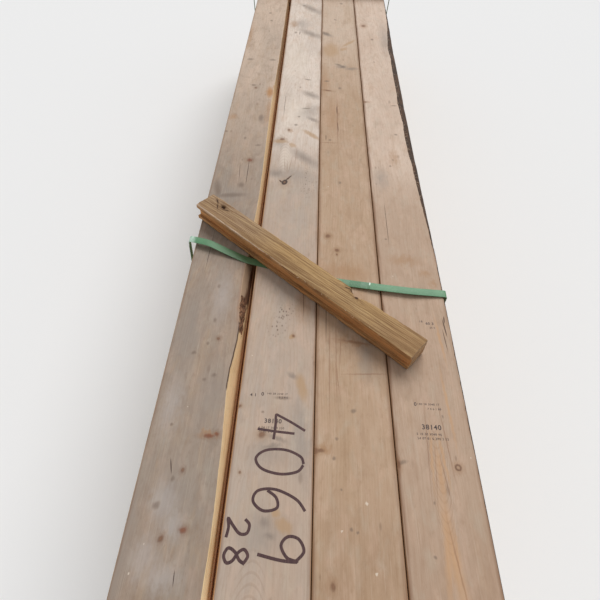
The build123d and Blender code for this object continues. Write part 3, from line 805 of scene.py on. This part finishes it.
tally = [("4", 299, 40, 50, 84), ("0", 236, 42, 48, 82), ("6", 172, 44, 46, 84), ("9", 104, 58, 48, 70),
         ("2", 121, 8, 30, 34), ("8", 82, 8, 30, 36)]
low, high = (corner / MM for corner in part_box("stud_top_2"))
written = []
for digit, start, base_line, breadth, tall in tally:
    for line in digit_paths[digit]:
        lift = ink_lift + ink_step * len(written)
        written.append(([(low.x + base_line + tall * py, low.y + start - breadth * px, high.z + lift + 0.012 * bend)
                         for bend, (px, py) in enumerate(line)], False))


def path_mesh(paths):
    """Edges along paths of (points in mm, closed)."""
    vertices, edges = [], []
    for points, closed in paths:
        start = len(vertices)
        vertices += [tuple(Vector(p) * MM) for p in points]
        edges += [(start + i, start + i + 1) for i in range(len(points) - 1)]
        if closed:
            edges.append((start + len(points) - 1, start))
    mesh = bpy.data.meshes.new("path")
    mesh.from_pydata(vertices, edges, [])
    return mesh


def face_up(mesh):
    """Turns a flat mesh over if it faces down."""
    if sum(face.normal.z * face.area for face in mesh.polygons) < 0:
        mesh.flip_normals()
    return mesh


tally_mesh = face_up(strokes.make("tally", path_mesh(written), {"Width": 4.6 * MM, "Material": marker_ink}))
piece("tally", tally_mesh, marker_ink)

# Size marks inked by a roller on the second and fourth studs: rows of small plain numbers, worn thin
stamp = Finish("stamp_ink", 0.3)
spot = stamp.point()
worn = stamp.noise(spot, (1.6, 6, 1.6), 4.0, 0.7)
stamp.tree.links.new((stamp.rise(worn, 0.72, 0.56) * 0.84 + 0.08).link, stamp.shader.inputs["Alpha"])
stamp_ink = stamp.finish(stamp.mix(worn, (74, 64, 64), (98, 84, 80)), 0.6 + worn * 0.2, worn, 0.05, 0.2)
small_print, digit_share, stamp_lift = 5.5, 0.7, 0.08


def stamped(name, node, rows):
    """Rows of digits on a stud's top: (digits, across of the row's middle, along, height), in mm."""
    low, high = (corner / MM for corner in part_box(node))
    parts = []
    for digits, across, along, tall in rows:
        bold = 0.035 if tall > small_print else 0.012
        text = bpy.data.curves.new(name, "FONT")
        text.body = digits
        text.size = tall * MM / digit_share
        text.align_x = "CENTER"
        text.space_character = 1.12
        text.offset = bold * tall * MM
        text.resolution_u = 3
        holder = bpy.data.objects.new("holder", text)
        bpy.context.collection.objects.link(holder)
        graph = bpy.context.evaluated_depsgraph_get()
        flat = bpy.data.meshes.new_from_object(holder.evaluated_get(graph))
        flat.transform(Matrix.Translation(Vector((low.x + across, low.y + along, high.z + stamp_lift)) * MM))
        bpy.data.objects.remove(holder)
        parts.append(flat)
    vertices, faces = [], []
    for part in parts:
        start = len(vertices)
        vertices += [tuple(v.co) for v in part.vertices]
        faces += [[start + i for i in face.vertices] for face in part.polygons]
    mesh = bpy.data.meshes.new(name)
    mesh.from_pydata(vertices, [], faces)
    return piece(name, face_up(mesh), stamp_ink)


stamped("size_marks_2", "stud_top_2", [
    ("38140", 66, 280, 8.0), ("6 04 17 3048 250", 64, 269, 4.0), ("71 90 2 6 55 830 14", 68, 262, 4.0),
    ("0", 43, 333, 7.0), ("140 38 3048 17", 70, 336, 3.8), ("5 2 9 0", 82, 329, 3.6), ("4 1", 26, 331, 6.0)])
stamped("size_marks_4", "stud_top_4", [
    ("38140", 68, 275, 9.0), ("5 18 30 3048 96", 62, 264, 4.2), ("24 07 81 6 390 3 52", 68, 256, 4.2),
    ("0", 44, 320, 7.0), ("140 38 3048 17", 68, 322, 4.0), ("7 4 6 1 88", 78, 313, 3.8),
    ("60 3", 96, 507, 6.0), ("18", 78, 512, 5.0), ("24 9", 100, 497, 4.0)])


# Straps
# Two loops of green embossed plastic band, each drawn tight and welded to itself where its tail lies over it. The
# near one has lost its batten, so it stands slack over the top and skews across it. Nothing fixes them but tension.
ribbon = Maker("Band along a path", ["Width", "Thickness", "Edge radius"])
path = ribbon.node("GeometryNodeMeshToCurve", {}, {"Mesh": ribbon.given("Geometry")})
tangent = ribbon.node("GeometryNodeInputTangent")
lengthwise = (0.0, 1.0, 0.0)
lean = ribbon.vector("DOT_PRODUCT", tangent, lengthwise, out="Value")
along_part = ribbon.node("ShaderNodeVectorMath", {"operation": "SCALE"}, {0: tangent, "Scale": lean})
width_way = ribbon.vector("NORMALIZE", ribbon.vector("SUBTRACT", lengthwise, along_part))
aimed = ribbon.node("GeometryNodeSetCurveNormal", {"mode": "FREE"}, {"Curve": path, "Normal": width_way})
run = ribbon.node("GeometryNodeSplineParameter", out="Length")
measured = ribbon.node("GeometryNodeStoreNamedAttribute", {"data_type": "FLOAT", "domain": "POINT"},
                       {"Geometry": aimed, "Name": "run", "Value": run * 1000.0})
shape = ribbon.node("GeometryNodeCurvePrimitiveQuadrilateral", {},
                    {"Width": ribbon.given("Width"), "Height": ribbon.given("Thickness")})
eased = ribbon.node("GeometryNodeFilletCurve", {"mode": "POLY"},
                    {"Curve": shape, "Count": 3, "Radius": ribbon.given("Edge radius")})
side_way = ribbon.split(ribbon.node("GeometryNodeInputPosition"))[0]
rated = ribbon.node("GeometryNodeStoreNamedAttribute", {"data_type": "FLOAT", "domain": "POINT"},
                    {"Geometry": eased, "Name": "side", "Value": side_way * 1000.0})
ribbon.close(ribbon.node("GeometryNodeCurveToMesh", {},
                         {"Curve": measured, "Profile Curve": rated, "Fill Caps": True}))


def bent_loop(corners):
    """A closed path in mm through corners (x, y, z, setback), each rounded from that far before it to after it."""
    path = []
    for number, corner in enumerate(corners):
        before, after = corners[number - 1], corners[(number + 1) % len(corners)]
        here = Vector(corner[:3])
        first = here + (Vector(before[:3]) - here).normalized() * corner[3]
        last = here + (Vector(after[:3]) - here).normalized() * corner[3]
        steps = 5 if corner[3] < 5 else 12
        for step in range(steps + 1):
            t = step / steps
            path.append(first * (1 - t) ** 2 + here * 2 * t * (1 - t) + last * t ** 2)
    return path


plastic = Finish("green_strap", 0.5)
spot = plastic.point()
run, side = plastic.stored("run"), plastic.stored("side")
emboss_pitch = 2.1
run_wave, side_wave = run * (2 * pi / emboss_pitch), side * (2 * pi / emboss_pitch)
lattice = plastic.maths("SINE", run_wave + side_wave) * plastic.maths("SINE", run_wave - side_wave)
scuff = plastic.noise(spot, (5, 5, 5), 4.0, 0.65)
streak = plastic.noise(plastic.join(run, side, 0.0), (70, 0.8, 1), 2.0, 0.6)
milky = plastic.noise(spot, (34, 34, 34), 2.0)
across, _, upward = plastic.split(spot)
# The strap's top is darker and yellower from near the pack's left edge up to the batten: painted shade, from its slope
# away from the light and from the batten.
painted_batten_shade = plastic.rise(across, -290.0, -160.0) * plastic.rise(across, 60.0, 20.0)
# Near-white green where the strap bends over the pack's left edge: a painted highlight.
bend_highlight = plastic.rise(across, -282.0, -294.0) * plastic.rise(upward, 606.0, 614.0)
green = plastic.layered(plastic.mix(plastic.rise(milky, 0.3, 0.7), (80, 132, 92), (90, 142, 101)), [
    (streak, 0.52, 0.75, 0.35, (116, 164, 128)),
    (scuff, 0.62, 0.78, 0.4, (150, 180, 154)),
    (abs(side), 8.6, 9.5, 0.35, (62, 112, 80)),
    (painted_batten_shade * (0.35 + scuff * 0.5), (84, 104, 66)),
    (bend_highlight * (0.25 + scuff), (196, 222, 206))])
strap_green = plastic.finish(green, 0.36 + scuff * 0.25, lattice * 0.6 + scuff * 0.4, 0.12, 0.5)

tail = Finish("green_strap_doubled", 0.5)
spot = tail.point()
run, side = tail.stored("run"), tail.stored("side")
mottle = tail.noise(spot, (4, 4, 4), 3.0, 0.6)
rib_pitch = 1.6
weld_ribs = tail.maths("SINE", run * (2 * pi / rib_pitch))
welded = tail.rise(run, 16.0, 18.0) * tail.rise(run, 44.0, 42.0)
# The tail's cut tip is near white: partly whitened plastic, partly a painted highlight.
pale_tip_and_highlight = tail.rise(run, 60.6, 61.6) * tail.rise(side + mottle * 4.0, 2.0, 6.0)
green = tail.layered(tail.mix(mottle, (66, 112, 76), (80, 130, 92)), [
    (welded * tail.rise(weld_ribs, 0.2, 0.9) * 0.3, (122, 166, 130)),
    (pale_tip_and_highlight, (214, 236, 222))])
tail_green = tail.finish(green, 0.34 + mottle * 0.2, weld_ribs * welded + mottle * 0.5, 0.2, 0.6)

strap_sizes = {"Width": 19.0 * MM, "Thickness": 1.0 * MM, "Edge radius": 0.35 * MM, "Material": strap_green}
strap_station, strap_low, tight_bend = 862.0, 0.5, 4
pack_side, batten_side, batten_under, groove_top = 286.65, 315.8, 614.1, 663.9
near_corners = [
    (-pack_side, -strap_station, strap_low, tight_bend), (-296.05, -847.92, 202.55, 60), (-302.85, -817.2, 454.2, 60),
    (-301.15, -798, 623.3, 6), (-251.55, -812.72, 626.8, 14), (-205.81, -833.2, 620.3, 16),
    (-159.93, -852.28, 614.6, 14), (33.53, -905.2, 614.6, 14), (141.86, -924.3, 621.6, 14),
    (211.53, -931.69, 621.86, 14), (290.27, -931, 616.27, 6), (302.85, -899.95, 380.56, 60),
    (295.2, -875.8, 153.45, 60), (pack_side, -strap_station, strap_low, tight_bend)]
tail_from, tail_to = Vector((59.1, -909.7, 616.2)), Vector((122.0, -920.8, 620.3))
near_strap = piece("slack_strap", ribbon.make("slack_strap", path_mesh([(bent_loop(near_corners), True)]), strap_sizes),
                   strap_green)
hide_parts("strap_near")
tail_sizes = dict(strap_sizes, Width=18.7 * MM, Material=tail_green)
tail_steps, tail_gap, tail_curl = 20, 0.05, 0.25
tail_path = [tail_from.lerp(tail_to, step / tail_steps)
             + Vector((0, 0, tail_gap + tail_curl * max(0, step - tail_steps + 2)))
             for step in range(tail_steps + 1)]
piece("slack_strap_tail", ribbon.make("slack_strap_tail", path_mesh([(tail_path, False)]), tail_sizes), tail_green)
far_side = [(-pack_side, strap_station, strap_low, tight_bend), (-batten_side, strap_station, batten_under, tight_bend),
            (-batten_side, strap_station, groove_top, tight_bend)]
far_corners = far_side + [(-x, y, z, bend) for x, y, z, bend in reversed(far_side)]
far_strap = piece("tight_strap", ribbon.make("tight_strap", path_mesh([(bent_loop(far_corners), True)]), strap_sizes),
                  strap_green)
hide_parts("strap_far")
weld_height, weld_lift, tail_length = 337.6, 1.02, 64
side_foot = Vector(far_side[0][:3])
side_up = (Vector(far_side[1][:3]) - side_foot).normalized()
tail_start = side_foot + side_up * weld_height + Vector((-side_up.z, 0, side_up.x)) * weld_lift
tail_path = [tail_start + side_up * tail_length * step / tail_steps for step in range(tail_steps + 1)]
piece("tight_strap_tail", ribbon.make("tight_strap_tail", path_mesh([(tail_path, False)]), tail_sizes), tail_green)


# Battens
# Rough-sawn softwood with a groove that the strap runs in, laid across the pack with nothing but the strap on it.
# One still sits on the far end. The other has popped out and lies on its side, skewed over the slack strap.
batten_long, batten_deep, batten_face = 630.0, 57.0, 45.0
groove_wide, groove_deep = 23.0, 8.0
end_rough = 0.9


def eased_polygon(corners, spacing):
    """Points round a polygon of (u, w, radius), each corner eased, closer together than spacing."""
    points = []
    for number, (u, w, radius) in enumerate(corners):
        here = Vector((u, w))
        before, after = Vector(corners[number - 1][:2]), Vector(corners[(number + 1) % len(corners)][:2])
        first = here + (before - here).normalized() * radius
        last = here + (after - here).normalized() * radius
        if points:
            gap = first - points[-1]
            parts = max(1, round(gap.length / spacing))
            points += [points[-1] + gap * (step / parts) for step in range(1, parts)]
        steps = 4
        points += [first * (1 - t) ** 2 + here * 2 * t * (1 - t) + last * t ** 2
                   for t in (step / steps for step in range(steps + 1))]
    gap = points[0] - points[-1]
    parts = round(gap.length / spacing)
    points += [points[-1] + gap * (step / parts) for step in range(1, parts)]
    return points


half_u, half_w, half_groove = batten_deep / 2, batten_face / 2, groove_wide / 2
batten_corners = [(-half_u, -half_w, 2.0), (half_u, -half_w, 2.0), (half_u, half_w, 2.0), (-half_u, half_w, 2.0),
                  (-half_u, half_groove, 0.7), (groove_deep - half_u, half_groove, 0.5),
                  (groove_deep - half_u, -half_groove, 0.5), (-half_u, -half_groove, 0.7)]


def sawn_batten(name, place, seed, hurt=None):
    """A rough batten with wavy faces, worn arrises and its own hurts. place carries (u, w, length) to the pack."""
    rim = eased_polygon(batten_corners, 1.7)
    count = len(rim)
    outer = [Vector(corner[:2]) for corner in batten_corners[:4]]
    sections = []
    steps = 252
    middle = batten_long / 2
    for step in range(steps + 1):
        along = batten_long * step / steps
        section = []
        for number, point in enumerate(rim):
            way = rim[(number + 1) % count] - rim[number - 1]
            out = Vector((way.y, -way.x)).normalized()
            u, w = point
            push = 0.45 * noise.noise((u / 16, w / 16 + seed, along / 70)) - 0.35
            push += 0.28 * noise.noise((u / 2.4, w / 2.4 + seed, along / 38))
            for corner_number, corner in enumerate(outer):
                near = exp(-((point - corner).length / 3.4) ** 2)
                if near > 0.01:
                    worn = noise.noise((along / 24, corner_number * 5.1, seed)) + 0.5 * noise.noise(
                        (along / 6, corner_number * 3.3, seed + 4))
                    push -= near * (0.5 + 2.4 * max(0.0, worn))
            moved = point + out * push
            if hurt:
                moved = hurt(moved, along)
            reach = along - middle
            if step == 0:
                reach += end_rough * noise.noise((u / 5, w / 5, seed)) + end_rough
            elif step == steps:
                reach += end_rough * noise.noise((u / 5, w / 5, seed + 9)) - end_rough
            section.append(tuple(place @ (Vector((moved.x, moved.y, reach)) * MM)))
        sections.append(section)
    return tube_mesh(name, sections)


knot_hole_along, knot_hole_across, knot_hole_deep = 54.5, 11.3, 6.0
bite_along, bite_deep = 463.0, 12.5


def loose_hurt(point, along):
    """The loose batten's knot hole on top and the bite out of its far edge."""
    u, w = point
    if w > 12:
        away = hypot((along - knot_hole_along) / 8.5, (u - knot_hole_across) / 5.5)
        w -= knot_hole_deep * max(0.0, 1 - away ** 2.5) if away < 1 else 0.0
    past = along - bite_along
    bite = exp(-((past / 17) ** 4)) if past < 0 else 0.55 * exp(-((past / 15) ** 2)) + 0.45 * exp(-((past / 75) ** 2))
    bite *= 1 + 0.25 * noise.noise((along / 5, w / 5, 2.0))
    if u > 4 and w > -12:
        u -= bite_deep * bite * min(1.0, (u - 4) / 20) * min(1.0, (w + 12) / 26)
    return Vector((u, w))


def local_frame(origin, across, along):
    """Carries (u, w, length) in metres to the pack's frame."""
    up = along.cross(across)
    turned = Matrix((across, up, along)).transposed().to_4x4()
    turned.translation = origin
    return turned


def rough_pine(name, origin, turn, look):
    """The finish of a batten, in its own directions: strong grain, a weather-browned side, a groove lightened by
    painted light and a pale arris partly painted as a highlight.
    """
    finish = Finish(name)
    values = {"Vector": finish.point(), "Location": origin, "Rotation": turn, "Scale": (1, 1, 1)}
    own = finish.node("ShaderNodeMapping", {"vector_type": "TEXTURE"}, values)
    along, u, w = finish.split(own)
    bare = finish.node("ShaderNodeNewGeometry", out="Normal")
    turned = finish.node("ShaderNodeMapping", {"vector_type": "TEXTURE"},
                         {"Vector": bare, "Location": (0, 0, 0), "Rotation": turn, "Scale": (1, 1, 1)})
    normal_along, normal_u, _ = finish.split(turned)
    across_grain = finish.rise(abs(normal_along), 0.55, 0.8)
    knots = marks(finish, finish.join(u, along, 0.0), look["knots"])
    pull = finish.maths("POWER", 2.718, knots * -0.6) * 12.0
    slope = along * look["slope"]
    ring, rings = growth(finish, u + slope, along, w, *look["pith"], look["seed"], pull)
    grain = finish.join(u + slope, along, w)
    fibre = finish.noise(grain, (0.9, 60, 0.9), 4.0, 0.66)
    cord = finish.noise(grain, (2.7, 120, 2.7), 3.0, 0.66, warp=0.25)
    cloud = finish.noise(grain, (26, 90, 26), 3.0, 0.55)
    saw = finish.noise(finish.join(u, along, w), (40, 1.4, 40), 1.0)
    aged = marks(finish, finish.join(u, along, 0.0), look["aged"])
    colour = finish.mix(finish.rise(along, *look["warm_from"]), look["cool"], look["warm"])
    colour = finish.layered(colour, [
        (u, 4.0, -26.0, 0.5, look["near_edge"]),
        (finish.rise(along, *look["dull_from"]), look["dull"]),
        (cloud, 0.45, 0.75, 0.5, look["patch"]),
        (aged, 1.5, 0.2, 0.7, (124, 92, 58)),
        (ring * 0.6, look["late"]),
        (cord, 0.50, 0.62, 0.74, look["late"]),
        (cord, 0.46, 0.36, 0.45, look["light"]),
        (fibre, 0.50, 0.68, 0.6, look["dark"]),
        (fibre, 0.45, 0.28, 0.6, look["light"])])
    # The groove's inside is lightened orange: painted light that lifts the shade in the groove.
    inside = finish.rise(u, 0.2 - half_u, 1.4 - half_u) * finish.rise(abs(w), half_groove + 0.8, half_groove - 0.2)
    inside = inside * finish.rise(u, groove_deep + 2.0 - half_u, groove_deep + 1.0 - half_u)
    shaded = finish.maths("MAXIMUM", finish.rise(normal_u, -0.55, -0.9), inside) * (1 - across_grain)
    side = finish.layered(finish.mix(finish.rise(cord, 0.4, 0.66), look["side"], look["side_dark"]), [
        (cloud, 0.5, 0.68, look["glow"], look["side_warm"]),
        (fibre, 0.45, 0.2, 0.3, look["patch"])])
    # A pale broken line along the near top arris: partly torn pale fibres, partly a painted highlight on the arris.
    crest = finish.vector("LENGTH", finish.join(u + half_u, 0.0, w - half_w), out="Value")
    crest = crest - finish.rise(along, -90.0, -140.0) * (cord * 5.0 - 1.2)
    crest = finish.rise(crest, 3.1, 1.3) * finish.rise(fibre, 0.34, 0.52) * finish.rise(along, *look["crest"])
    colour = finish.layered(colour, [
        (shaded * look["stained"], side),
        (inside * 0.5, (222, 158, 98)),
        (finish.rise(knots, 3.2, 0.8) * finish.rise(fibre, 0.3, 0.6) * 0.5, (96, 62, 36)),
        (knots, 1.3, 0.6, 0.88, (60, 36, 22)),
        (crest * 0.85, (214, 188, 164))])
    colour = sawn_end(finish, colour, (ring, rings), u, along, w, across_grain * look["end"], 0.6)
    relief = ring * 0.8 + fibre * 0.8 + cord * 0.6 + saw * 0.25
    return finish.finish(colour, 0.7 + fibre * 0.2, relief, 0.7, 0.8)


loose_turn = radians(-40.9)
loose_along = Vector((cos(loose_turn), sin(loose_turn), 0))
loose_across = Vector((-sin(loose_turn), cos(loose_turn), 0))
loose_centre = Vector((-37.5, -901.0, 615.4 + batten_face / 2))
loose_look = {
    "seed": 6.0, "pith": (64.0, -52.0), "slope": -0.035, "warm_from": (-190.0, -40.0), "dull_from": (150.0, 300.0),
    "cool": (166, 138, 110), "warm": (180, 145, 98), "dull": (162, 127, 88), "patch": (150, 120, 86),
    "late": (124, 92, 58), "dark": (100, 72, 48), "light": (203, 172, 125), "side": (194, 144, 94),
    "side_dark": (128, 88, 54), "side_warm": (200, 138, 80), "near_edge": (146, 110, 72), "glow": 0.6,
    "stained": 1.0, "crest": (20.0, -60.0), "end": 1.0, "aged": [(-17, -15, 11, 100), (-20, -130, 6, 60)],
    "knots": [(11.3, -260.5, 4.5, 7), (15, -286, 1.6, 9, 30), (7, -248, 1.2, 9, -25), (3, -272, 1.2, 8, 40),
              (19, 137, 1.8, 14, 15), (13.5, 150, 3.5, 4), (22, 122, 1.3, 9, -20)]}
loose_finish = rough_pine("loose_batten_wood", loose_centre, (0, 0, loose_turn), loose_look)
loose_place = local_frame(loose_centre * MM, loose_across, loose_along)
loose = piece("loose_batten", sawn_batten("loose_batten", loose_place, 3.0, loose_hurt), loose_finish)
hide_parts("batten_loose")

seated_centre = Vector((0, strap_station, batten_under + batten_deep / 2))
seated_look = dict(loose_look, seed=9.0, pith=(-40.0, -60.0), slope=0.02, warm=(196, 156, 102),
                   knots=[(0, -120, 7, 10), (12, 210, 5, 9)], crest=(900.0, 901.0), stained=0.5,
                   aged=[(0, 90, 16, 60), (-10, -220, 10, 50)])
seated_finish = rough_pine("seated_batten_wood", seated_centre, (0, pi / 2, 0), seated_look)
seated_place = local_frame(seated_centre * MM, Vector((0, 0, -1)), Vector((1, 0, 0)))
seated = piece("seated_batten", sawn_batten("seated_batten", seated_place, 8.0), seated_finish)
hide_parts("batten_seated")

# Splinters that stand off the torn rim of the last stud's wane and off the loose batten's worn arrises
splinters = Maker("Splinters along an edge", ["Spacing", "Length", "Breadth", "Share", "Outward", "Seed"])
path = splinters.node("GeometryNodeMeshToCurve", {}, {"Mesh": splinters.given("Geometry")})
even = splinters.node("GeometryNodeResampleCurve", {"mode": "LENGTH"},
                      {"Curve": path, "Length": splinters.given("Spacing")})
chosen = splinters.node("FunctionNodeRandomValue", {"data_type": "BOOLEAN"},
                        {6: splinters.given("Share"), "Seed": splinters.given("Seed")}, 3)
sliver = splinters.node("GeometryNodeMeshCone", {}, {"Vertices": 4, "Radius Top": 0.08, "Radius Bottom": 0.5,
                                                     "Depth": 1.0})
stray = splinters.node("FunctionNodeRandomValue", {"data_type": "FLOAT_VECTOR"},
                       {0: (-0.35, -1.0, -0.25), 1: (0.35, 1.0, 0.45), "Seed": 8}, 0)
aim = splinters.vector("ADD", stray, splinters.join(splinters.given("Outward"), 0.0, 0.1))
turn = splinters.node("FunctionNodeAlignRotationToVector", {"axis": "Z"}, {"Vector": aim})
long = splinters.node("FunctionNodeRandomValue", {"data_type": "FLOAT"}, {2: 0.35, 3: 1.2, "Seed": 9}, 1)
size = splinters.join(splinters.given("Breadth"), splinters.given("Breadth"), splinters.given("Length") * long)
splinters.close(splinters.node("GeometryNodeInstanceOnPoints", {},
                               {"Points": even, "Selection": chosen, "Instance": sliver, "Rotation": turn,
                                "Scale": size}))
sliver_wood = Finish("splinter_wood", 0.2)
speckle = sliver_wood.noise(sliver_wood.point(), (1.5, 6, 1.5), 3.0, 0.6)
pale_wood = sliver_wood.mix(speckle, (232, 214, 190), (196, 164, 128))
splinter_wood = sliver_wood.finish(pale_wood, 0.7 + speckle * 0.2, speckle, 0.1, 0.4)
low, high = (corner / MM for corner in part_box("stud_top_4"))
torn_rim = [(high.x - wane_reach(4, along) * 0.9, low.y + along, high.z - 1.2) for along in range(880, 1960, 4)]
rim_splinters = splinters.make("rim_splinters", path_mesh([(torn_rim, False)]), {
    "Spacing": 7.0 * MM, "Length": 9.0 * MM, "Breadth": 0.9 * MM, "Share": 0.4, "Outward": 0.7, "Seed": 2,
    "Material": splinter_wood})
piece("rim_splinters", rim_splinters, splinter_wood)
worn_arris = [tuple(loose_place @ (Vector((-half_u + 0.9, half_w - 0.9, along)) * MM) / MM)
              for along in range(-300, 260, 4)]
arris_splinters = splinters.make("arris_splinters", path_mesh([(worn_arris, False)]), {
    "Spacing": 5.0 * MM, "Length": 6.0 * MM, "Breadth": 0.6 * MM, "Share": 0.35, "Outward": -0.3, "Seed": 6,
    "Material": splinter_wood})
piece("arris_splinters", arris_splinters, splinter_wood)


# Floor, light and camera
# A plain pale floor, an even sky and one broad low lamp, whose soft shadows are as long as in the photograph. A
# colour renders about as it is written.
floor_half = 30.0
floor_mesh = bpy.data.meshes.new("floor")
floor_mesh.from_pydata([(-floor_half, -floor_half, 0), (floor_half, -floor_half, 0), (floor_half, floor_half, 0),
                        (-floor_half, floor_half, 0)], [], [(0, 1, 2, 3)])
floor = bpy.data.objects.new("floor", floor_mesh)
bpy.context.collection.objects.link(floor)
pale = Finish("floor", 0.0)
pale.shader.inputs["Base Color"].default_value = (0.86, 0.86, 0.86, 1)
pale.shader.inputs["Roughness"].default_value = 1.0
floor_mesh.materials.append(pale.material)

world = bpy.data.worlds.new("sky")
bpy.context.scene.world = world
world.use_nodes = True
background = world.node_tree.nodes["Background"].inputs
background["Color"].default_value = (1.0, 1.0, 1.0, 1)
background["Strength"].default_value = 0.42

lamp = bpy.data.lights.new("lamp", "SUN")
lamp.energy = 2.43
lamp_spread, lamp_way = 42, (-0.45, -1.2, -1.35)
lamp.angle = radians(lamp_spread)
lamp_object = bpy.data.objects.new("lamp", lamp)
bpy.context.collection.objects.link(lamp_object)
lamp_object.rotation_euler = Vector(lamp_way).to_track_quat("-Z", "Y").to_euler()

bpy.context.scene.view_settings.view_transform = "Standard"

picture_pixels = 600
focal_pixels = 467.0
look_down, look_right, tilt = 51.11, -0.58, 2.0
top_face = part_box("stud_top_2")[1].z
near_end = -1.524
eye_across, eye_behind, eye_above = -0.025, 0.0747, 0.7875
camera_data = bpy.data.cameras.new("camera")
camera_data.sensor_width = 36.0
camera_data.lens = camera_data.sensor_width * focal_pixels / picture_pixels
camera = bpy.data.objects.new("camera", camera_data)
bpy.context.collection.objects.link(camera)
camera.location = (eye_across, near_end - eye_behind, top_face + eye_above)
ahead = Vector((sin(radians(look_right)) * cos(radians(look_down)),
                cos(radians(look_right)) * cos(radians(look_down)), -sin(radians(look_down))))
camera.rotation_mode = "QUATERNION"
camera.rotation_quaternion = ahead.to_track_quat("-Z", "Y") @ Quaternion((0, 0, 1), radians(tilt))
bpy.context.scene.camera = camera
